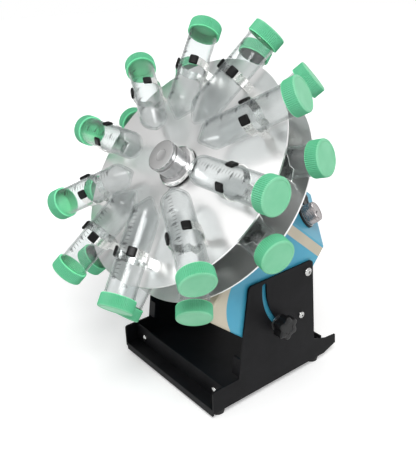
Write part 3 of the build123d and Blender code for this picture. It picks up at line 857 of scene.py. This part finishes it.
for face in hub.faces:
    face.material_index = int(abs(face.normal.z) > FACED)
hub.transform(rotor_place)
turned_hub = make_piece("turned_hub", hub, "rotor", polished, ("hub_knob",))
turned_hub.data.materials.append(faced_metal)
print("hub stands", HUB_TOP, "mm out of the disc")

# %% [markdown]
# The speed knob is turned metal: a knurled grip between two smooth bands, with an eased rim. It
# uses the same ribbed ring as the caps, with finer ribs, and a plain stem through the panel.

# %% Speed knob
knob_place = facing(joints["speed_turn"]["pos_m"], joints["speed_turn"]["axis"])
KNOB_RADIUS = 11.6
KNOB_LOW = 3.3
KNOB_HIGH = 16.2
KNOB_RIBS = 48
shape, ring = ribbed_ring(KNOB_RADIUS, KNOB_RIBS, 0.5, KNOB_LOW + 2.0)
upper = walk_ring(shape, ring, [(1, 7.0), (0.955, 0.3), (1, 2.2), (0.97, 0.7), (0.93, 0.7),
                                (0.86, 0), (0.985, -0.3), (0.3, 0)])
bmesh.ops.edgeloop_fill(shape, edges=upper)
lower = walk_ring(shape, ring, [(0.96, -0.4), (1, -1.3), (0.97, -0.3), (0.3, 0)])
bmesh.ops.edgeloop_fill(shape, edges=lower)
stem = lathe([(0, -7.5), (3.0, -7.5), (3.0, 4.0), (0, 4.0)], 32)
grip = gather([shape, stem])
grip.transform(knob_place)
make_piece("knurled_knob", grip, "speed_knob", knob_metal, ("speed_knob",))
print("speed knob", 2 * KNOB_RADIUS, "mm across")

# %% [markdown]
# The knob turns inside a black collar that stays on the panel, with a thin bright line let into its
# face. The pointer is a slim bevelled bar, sunk a little into the knob, and turns with it.

# %% Collar and pointer
COLLAR_STEPS = 64
collar_ring = lathe([(3.2, 0), (13.5, 0), (13.5, 1.5), (13.25, 2.3), (12.7, 2.8), (12.0, 3.0),
                     (3.2, 3.0), (3.2, 0)], COLLAR_STEPS)
collar_ring.transform(knob_place)
make_piece("knob_collar", collar_ring, "housing", black_plastic, ("knob_bezel",))
inlay = lathe([(11.9, 2.9), (12.3, 2.9), (12.3, 3.25), (11.9, 3.25), (11.9, 2.9)], COLLAR_STEPS)
inlay.transform(knob_place)
make_piece("collar_inlay", inlay, "housing", bright_rim)

POINTER = (1.2, 6.5, 0.7)
POINTER_OUT = 5.2
POINTER_SUNK = 0.15
pointer = bmesh.new()
bmesh.ops.create_cube(pointer, size=1 * MM)
bmesh.ops.scale(pointer, vec=POINTER, verts=pointer.verts)
bmesh.ops.bevel(pointer, geom=list(pointer.edges), affect="EDGES", offset=0.15 * MM, segments=2,
                profile=0.5, material=-1)
bmesh.ops.translate(pointer, vec=(0, POINTER_OUT * MM, (KNOB_HIGH - POINTER_SUNK) * MM),
                    verts=pointer.verts)
pointer.transform(knob_place)
make_piece("knob_pointer", pointer, "speed_knob", black_plastic)
print("pointer", POINTER[1], "mm long")

# %% [markdown]
# ## Room, light and background
# A pale floor catches the contact shadow and glows a little more the further out it is, so that it
# melts into the white room. A brighter paint would do that too, but it would throw more light on
# the machine, so the glow is an emission that only camera, glossy and transmission rays see.

# %% Floor
FLOOR_HALF = 6.0
GLOW_REACH = (0.25, 1.1)
GLOW = (0.30, 0.75)
floor_shape = bmesh.new()
bmesh.ops.create_grid(floor_shape, x_segments=1, y_segments=1, size=FLOOR_HALF)
floor_mesh = bpy.data.meshes.new("floor")
floor_shape.to_mesh(floor_mesh)
floor_shape.free()
floor = bpy.data.objects.new("floor", floor_mesh)
bpy.context.scene.collection.objects.link(floor)
floor_paint = finish("floor_paint", (0.90, 0.90, 0.90), 0.9, specular_ior_level=0.1)
floor_mesh.materials.append(floor_paint)


def combine(material, operation, first, second):
    """A Math node fed by two sockets."""
    node = add_node(material, "ShaderNodeMath", operation=operation)
    join(material, first, node.inputs[0])
    join(material, second, node.inputs[1])
    return node.outputs["Value"]


rays = add_node(floor_paint, "ShaderNodeLightPath").outputs
seen = combine(floor_paint, "MAXIMUM", rays["Is Camera Ray"], rays["Is Glossy Ray"])
seen = combine(floor_paint, "MAXIMUM", seen, rays["Is Transmission Ray"])
where = add_node(floor_paint, "ShaderNodeTexCoord")
reach = add_node(floor_paint, "ShaderNodeVectorMath", operation="LENGTH")
join(floor_paint, where.outputs["Object"], reach.inputs[0])
brighter = remap(floor_paint, reach.outputs["Value"], GLOW_REACH, GLOW,
                 interpolation_type="SMOOTHSTEP")
glow = add_node(floor_paint, "ShaderNodeEmission", Color=(1, 1, 1, 1))
join(floor_paint, combine(floor_paint, "MULTIPLY", seen, brighter), glow.inputs["Strength"])
both = add_node(floor_paint, "ShaderNodeAddShader")
floor_nodes = floor_paint.node_tree.nodes
join(floor_paint, floor_nodes["Principled BSDF"].outputs["BSDF"], both.inputs[0])
join(floor_paint, glow.outputs["Emission"], both.inputs[1])
join(floor_paint, both.outputs["Shader"], floor_nodes["Material Output"].inputs["Surface"])
print("floor", 2 * FLOOR_HALF, "m wide")

# %% [markdown]
# The world lights everything evenly at a moderate strength. Camera and transmission rays see a
# clean white room instead, and glossy rays the same room with one dark wall on the left, because
# metal needs something to mirror: in an all-white room a turned disc looks like paper.

# %% World
AMBIENT = 0.46
DARK_WALL = 0.1
BRIGHT_WALL = 1.0
WALL_EDGE = (-0.84, -0.68)
world = bpy.data.worlds.new("studio")
bpy.context.scene.world = world
world.use_nodes = True
ambient = world.node_tree.nodes["Background"]
ambient.inputs["Color"].default_value = (1, 1, 1, 1)
ambient.inputs["Strength"].default_value = AMBIENT
clean = add_node(world, "ShaderNodeBackground", Color=(1, 1, 1, 1), Strength=1.0)
mirrored = add_node(world, "ShaderNodeBackground", Color=(1, 1, 1, 1))
direction = add_node(world, "ShaderNodeTexCoord")
axes = add_node(world, "ShaderNodeSeparateXYZ")
join(world, direction.outputs["Generated"], axes.inputs["Vector"])
wall = remap(world, axes.outputs["X"], WALL_EDGE, (DARK_WALL, BRIGHT_WALL),
             interpolation_type="SMOOTHSTEP")
join(world, wall, mirrored.inputs["Strength"])
rays = add_node(world, "ShaderNodeLightPath").outputs
lit_room = mix_shaders(world, rays["Is Glossy Ray"], ambient.outputs["Background"],
                       mirrored.outputs["Background"])
seen = combine(world, "MAXIMUM", rays["Is Camera Ray"], rays["Is Transmission Ray"])
whole_room = mix_shaders(world, seen, lit_room, clean.outputs["Background"])
join(world, whole_room, world.node_tree.nodes["World Output"].inputs["Surface"])
print("world strength", AMBIENT)


# %% [markdown]
# One large lamp high on the right models the forms, and a weaker one on the left lifts the shadows.
# Both are area lamps: a large soft source leaves a broad highlight on paint and metal, where a
# point would leave a dot.


# %% Lamps
def area_lamp(name, place, target, size, power):
    data = bpy.data.lights.new(name, "AREA")
    data.size = size
    data.energy = power
    lamp = bpy.data.objects.new(name, data)
    bpy.context.scene.collection.objects.link(lamp)
    lamp.location = place
    lamp.rotation_euler = (target - Vector(place)).to_track_quat("-Z", "Y").to_euler()
    print(name, power, "W")


middle = Vector((0, 0, 0.2))
area_lamp("key_lamp", (0.9, -0.55, 1.5), middle, size=0.7, power=19)
area_lamp("side_lamp", (-0.75, -1.0, 1.15), middle, size=0.9, power=2.3)
bpy.context.scene.view_settings.view_transform = "Standard"
